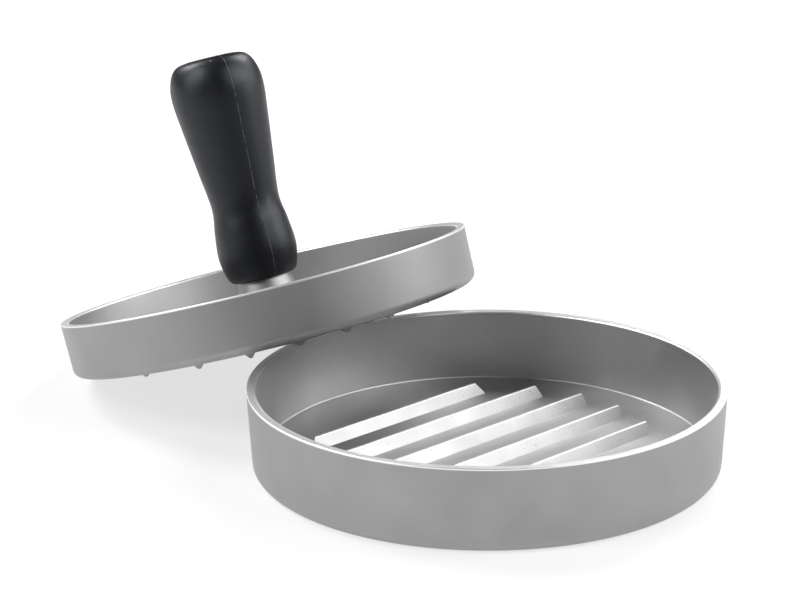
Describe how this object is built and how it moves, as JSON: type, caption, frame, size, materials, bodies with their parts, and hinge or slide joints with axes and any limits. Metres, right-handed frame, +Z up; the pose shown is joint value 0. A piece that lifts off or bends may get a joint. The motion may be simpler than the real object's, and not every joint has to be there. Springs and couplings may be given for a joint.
{
  "type": "patty press",
  "caption": "Round cast patty press: a shallow ribbed mould, and a ribbed press plate with a waisted screw-on handle leaning on its rim.",
  "frame": {"origin": "centre of the mould's flat base, on the surface the press stands on", "axes": "+Z up, along the mould's axis; -Y towards the front, from where the press plate leans on the mould's rim at the back left"},
  "size_m": [0.1776, 0.1794, 0.0914],
  "materials": {
    "cast_mould": "satin",
    "cast_press": "satin",
    "black_grip": "satin",
    "brass_insert": "machined",
    "steel_stud": "zinc plated"
  },
  "bodies": {
    "mould": {"mould_dish": "cast_mould"},
    "press": {"press_plate": "cast_press"},
    "stud": {"handle_stud": "steel_stud"},
    "handle": {"handle_grip": "black_grip", "handle_insert": "brass_insert"}
  },
  "joints": [
    {"name": "press_lift", "type": "slide", "parent": "mould", "child": "press", "axis": [0, 0, 1], "range_m": [0, 0.08]},
    {"name": "handle_travel", "type": "slide", "parent": "press", "child": "stud", "axis": [-0.2304, 0.1826, 0.9558], "range_m": [0, 0.01001]},
    {"name": "handle_turn", "type": "hinge", "parent": "stud", "child": "handle", "pos_m": [-0.0618, 0.063, 0.03087], "axis": [-0.2304, 0.1826, 0.9558], "range_deg": [0, 2880]}
  ],
  "couplings": [
    {"joint": "handle_travel", "follows": "handle_turn", "m_per_rad": 0.00019894}
  ]
}
